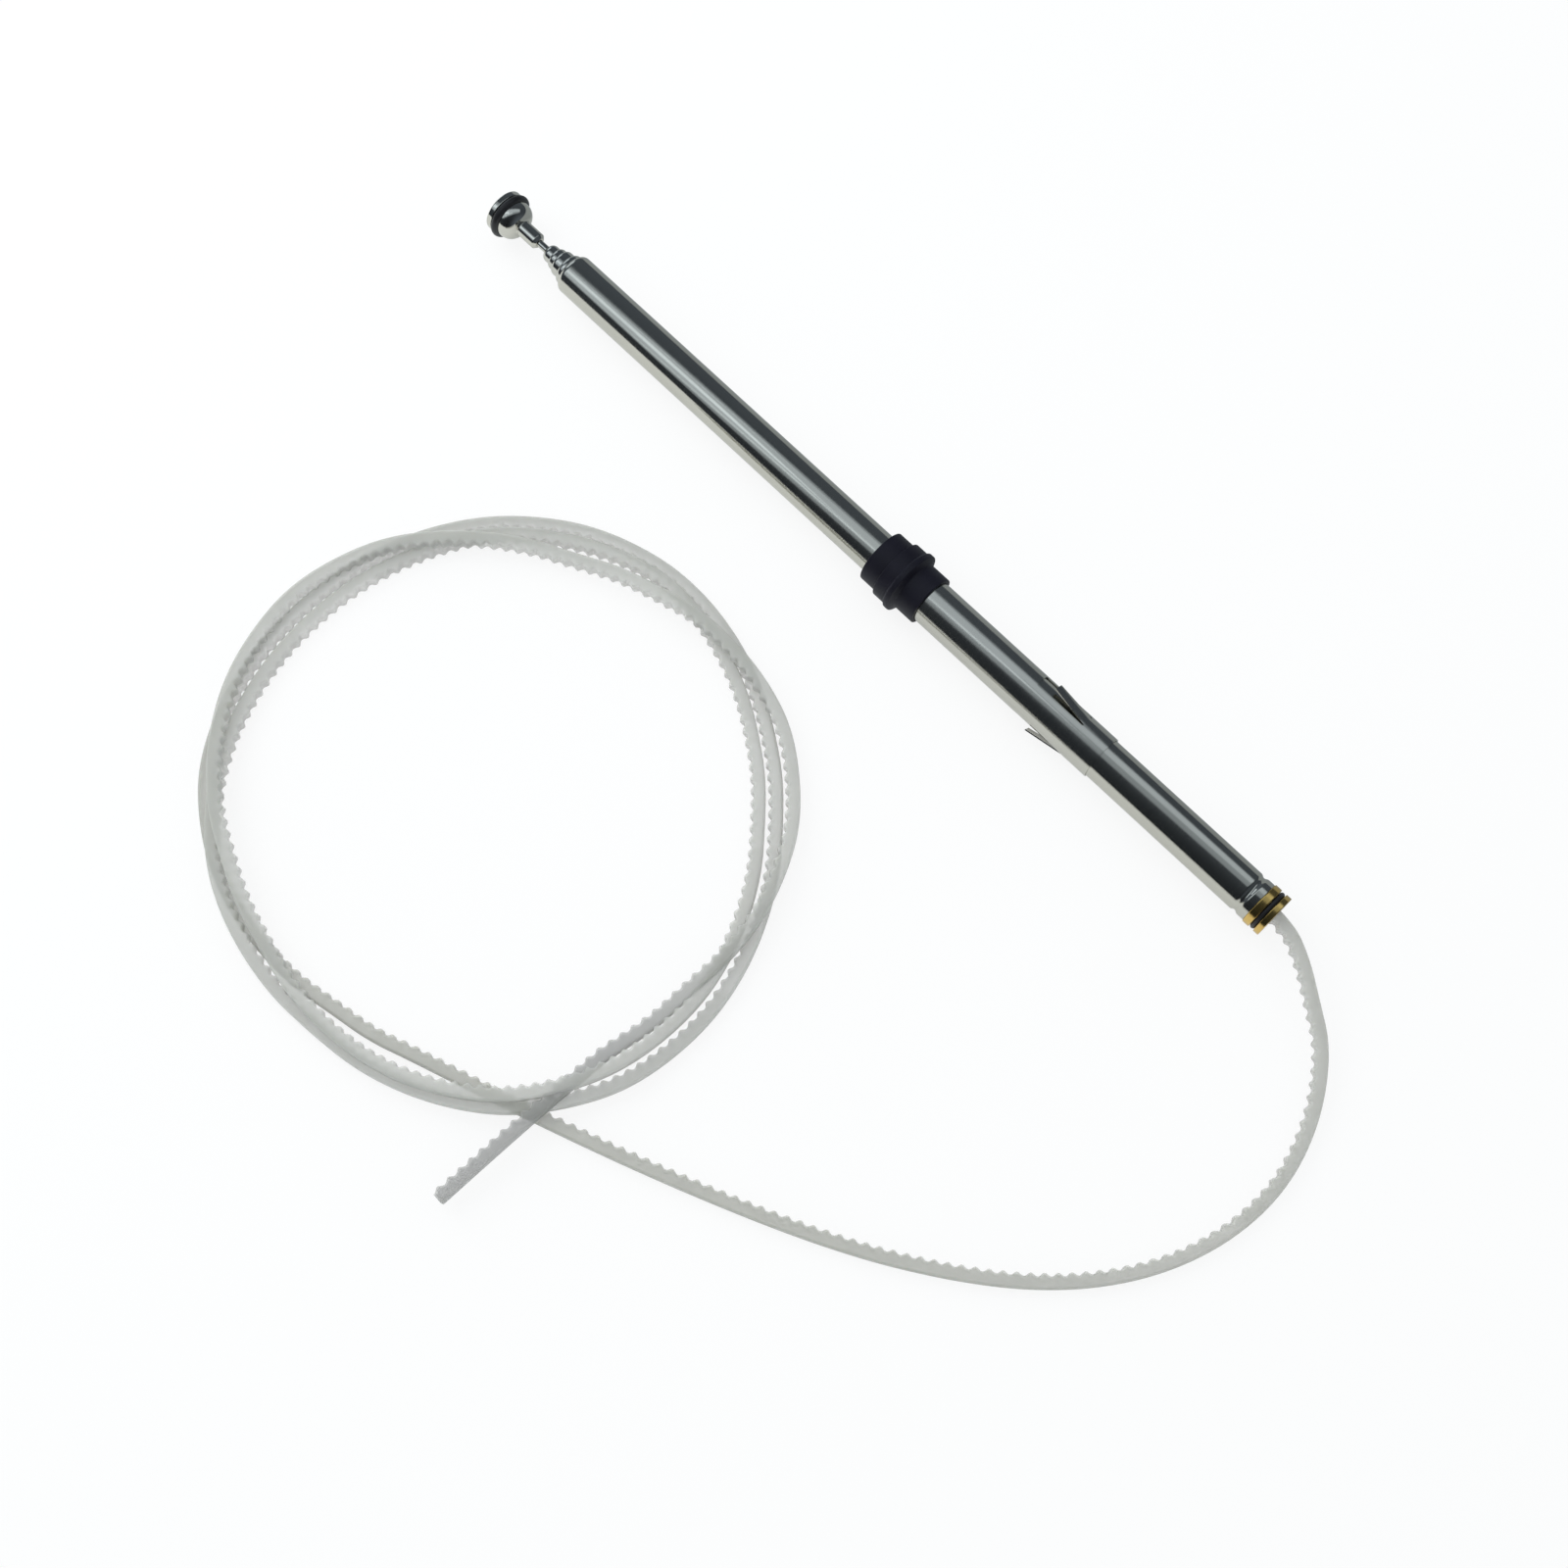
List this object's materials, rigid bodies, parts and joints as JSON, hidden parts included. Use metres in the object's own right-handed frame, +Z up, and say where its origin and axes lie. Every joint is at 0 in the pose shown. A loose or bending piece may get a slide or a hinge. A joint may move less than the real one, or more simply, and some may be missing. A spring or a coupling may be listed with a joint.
{
  "type": "car mast aerial",
  "caption": "Telescopic car aerial mast, pushed in, with a sliding contact sleeve and collar, a brass end plug and a coiled toothed drive cord.",
  "frame": {"origin": "on the surface that it lies on, under the middle of the pushed-in mast", "axes": "+X along the mast from the brass plug to the tip, +Z up"},
  "size_m": [0.285, 0.1768, 0.0157],
  "materials": {
    "chrome": "polished plate with fine drawing marks",
    "brass": "turned, slightly tarnished",
    "rubber": "moulded, satin black",
    "nylon": "milky, slightly glossy"
  },
  "bodies": {
    "base": {"base_tube": "chrome", "base_plug": "brass", "base_seal_ring": "rubber", "drive_cord_tail": "nylon", "drive_cord_coil": "nylon", "drive_cord_end": "nylon"},
    "collar_sleeve": {"contact_sleeve": "chrome", "rubber_collar": "rubber"},
    "mast_1": {"section_1": "chrome", "section_1_bush": "brass"},
    "mast_2": {"section_2": "chrome", "section_2_bush": "brass"},
    "mast_3": {"section_3": "chrome", "section_3_bush": "brass"},
    "mast_4": {"section_4": "chrome", "section_4_bush": "brass"},
    "tip": {"tip_rod": "chrome", "rod_stop_bush": "brass", "cord_ferrule": "brass", "drive_cord_inner": "nylon", "tip_button": "chrome", "tip_seal_ring": "rubber"}
  },
  "joints": [
    {"name": "mast_1_slide", "type": "slide", "parent": "base", "child": "mast_1", "axis": [1, 0, 0], "range_m": [0, 0.1935]},
    {"name": "mast_2_slide", "type": "slide", "parent": "mast_1", "child": "mast_2", "axis": [1, 0, 0], "range_m": [0, 0.194]},
    {"name": "mast_3_slide", "type": "slide", "parent": "mast_2", "child": "mast_3", "axis": [1, 0, 0], "range_m": [0, 0.195]},
    {"name": "mast_4_slide", "type": "slide", "parent": "mast_3", "child": "mast_4", "axis": [1, 0, 0], "range_m": [0, 0.195]},
    {"name": "tip_slide", "type": "slide", "parent": "mast_4", "child": "tip", "axis": [1, 0, 0], "range_m": [0, 0.1855]},
    {"name": "collar_slide", "type": "slide", "parent": "base", "child": "collar_sleeve", "axis": [1, 0, 0], "range_m": [-0.045, 0.1]}
  ]
}
